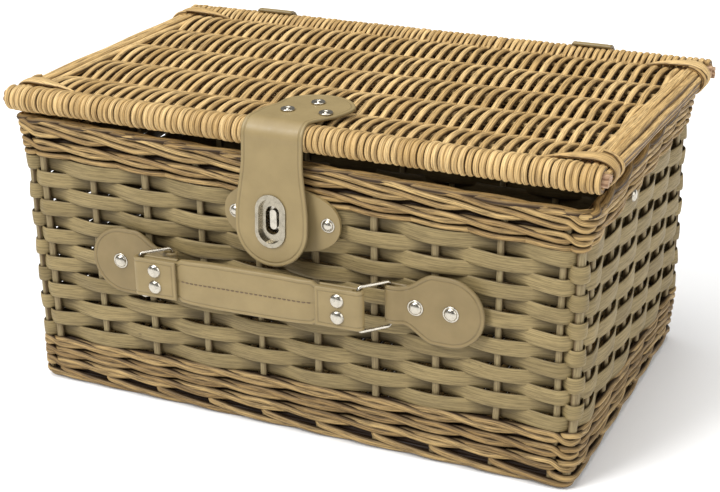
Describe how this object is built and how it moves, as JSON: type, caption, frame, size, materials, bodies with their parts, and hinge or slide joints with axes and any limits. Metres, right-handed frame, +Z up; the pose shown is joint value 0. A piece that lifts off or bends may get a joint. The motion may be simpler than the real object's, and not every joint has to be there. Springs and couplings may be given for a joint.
{
  "type": "wicker basket",
  "caption": "Rectangular willow hamper with a hinged woven lid, a leather hasp on a turn lock, and a leather handle held by wire rings.",
  "frame": {"origin": "on the ground, under the middle of the whole object's bounding box, lid closed", "axes": "+Z up; the front with the hasp and the handle faces -Y; +X is the right of someone facing the front"},
  "size_m": [0.41, 0.2678, 0.2159],
  "materials": {
    "split_willow": "grey-olive split willow strips, dry and slightly fibrous, woven flat",
    "buff_willow": "golden buff round willow rods, smooth with a low sheen",
    "leather": "khaki leather, fine grain, creased edge line and stitching, soft sheen",
    "nickel": "nickel-plated rivets, wire rings and lock, bright with light wear"
  },
  "bodies": {
    "basket": {"base_panel": "split_willow", "foot_border": "buff_willow", "lower_waling": "buff_willow", "front_weave": "split_willow", "back_weave": "split_willow", "left_weave": "split_willow", "right_weave": "split_willow", "corner_post_front_left": "buff_willow", "corner_post_front_right": "buff_willow", "corner_post_back_left": "buff_willow", "corner_post_back_right": "buff_willow", "upper_waling": "buff_willow", "rim_border": "buff_willow", "lock_backplate": "leather", "backplate_rivet_left": "nickel", "backplate_rivet_right": "nickel", "lock_base": "nickel", "handle_tab_left": "leather", "tab_rivet_inner_left": "nickel", "tab_rivet_outer_left": "nickel", "handle_tab_right": "leather", "tab_rivet_inner_right": "nickel", "tab_rivet_outer_right": "nickel", "hinge_strap_lower_left": "leather", "hinge_rivet_top_left": "nickel", "hinge_rivet_bottom_left": "nickel", "hinge_strap_lower_right": "leather", "hinge_rivet_top_right": "nickel", "hinge_rivet_bottom_right": "nickel", "end_wall_rivet": "nickel"},
    "lid": {"lid_weave": "buff_willow", "lid_front_roll": "buff_willow", "lid_back_roll": "buff_willow", "lid_end_left": "buff_willow", "lid_end_right": "buff_willow", "lid_corner_wrap_front_left": "buff_willow", "lid_corner_wrap_front_right": "buff_willow", "lid_corner_wrap_back_left": "buff_willow", "lid_corner_wrap_back_right": "buff_willow", "hasp_head": "leather", "hasp_rivet_left": "nickel", "hasp_rivet_back": "nickel", "hasp_rivet_right": "nickel", "hinge_strap_upper_left": "leather", "hinge_strap_upper_right": "leather"},
    "hasp": {"hasp_tongue": "leather", "hasp_eyelet": "nickel"},
    "turn_button": {"turn_button": "nickel"},
    "ring_left": {"handle_ring_left": "nickel"},
    "ring_right": {"handle_ring_right": "nickel"},
    "handle": {"handle_strap": "leather", "handle_end_left": "leather", "handle_end_right": "leather", "handle_rivet_top_left": "nickel", "handle_rivet_bottom_left": "nickel", "handle_rivet_top_right": "nickel", "handle_rivet_bottom_right": "nickel"}
  },
  "joints": [
    {"name": "lid_hinge", "type": "hinge", "parent": "basket", "child": "lid", "pos_m": [0, 0.13029, 0.1935], "axis": [-1, 0, 0], "range_deg": [0, 105]},
    {"name": "hasp_lift", "type": "hinge", "parent": "lid", "child": "hasp", "pos_m": [-0.0025, -0.11301, 0.202], "axis": [-1, 0, 0], "range_deg": [-3.4, 110]},
    {"name": "turn_button_turn", "type": "hinge", "parent": "basket", "child": "turn_button", "pos_m": [-0.0025, -0.11321, 0.15168], "axis": [0, -1, 0], "range_deg": [0, 90]},
    {"name": "ring_left_swing", "type": "hinge", "parent": "basket", "child": "ring_left", "pos_m": [-0.079, -0.11221, 0.104], "axis": [0, 0, 1], "range_deg": [-22, 109]},
    {"name": "ring_right_swing", "type": "hinge", "parent": "basket", "child": "ring_right", "pos_m": [0.075, -0.11221, 0.108], "axis": [0, 0, 1], "range_deg": [-22, 109]},
    {"name": "handle_swing", "type": "hinge", "parent": "ring_left", "child": "handle", "pos_m": [-0.09339, -0.12819, 0.1044], "axis": [0, 0, 1], "range_deg": [-109, 22]}
  ],
  "couplings": [
    {"joint": "ring_right_swing", "follows": "ring_left_swing", "ratio": 1},
    {"joint": "handle_swing", "follows": "ring_left_swing", "ratio": -1}
  ]
}
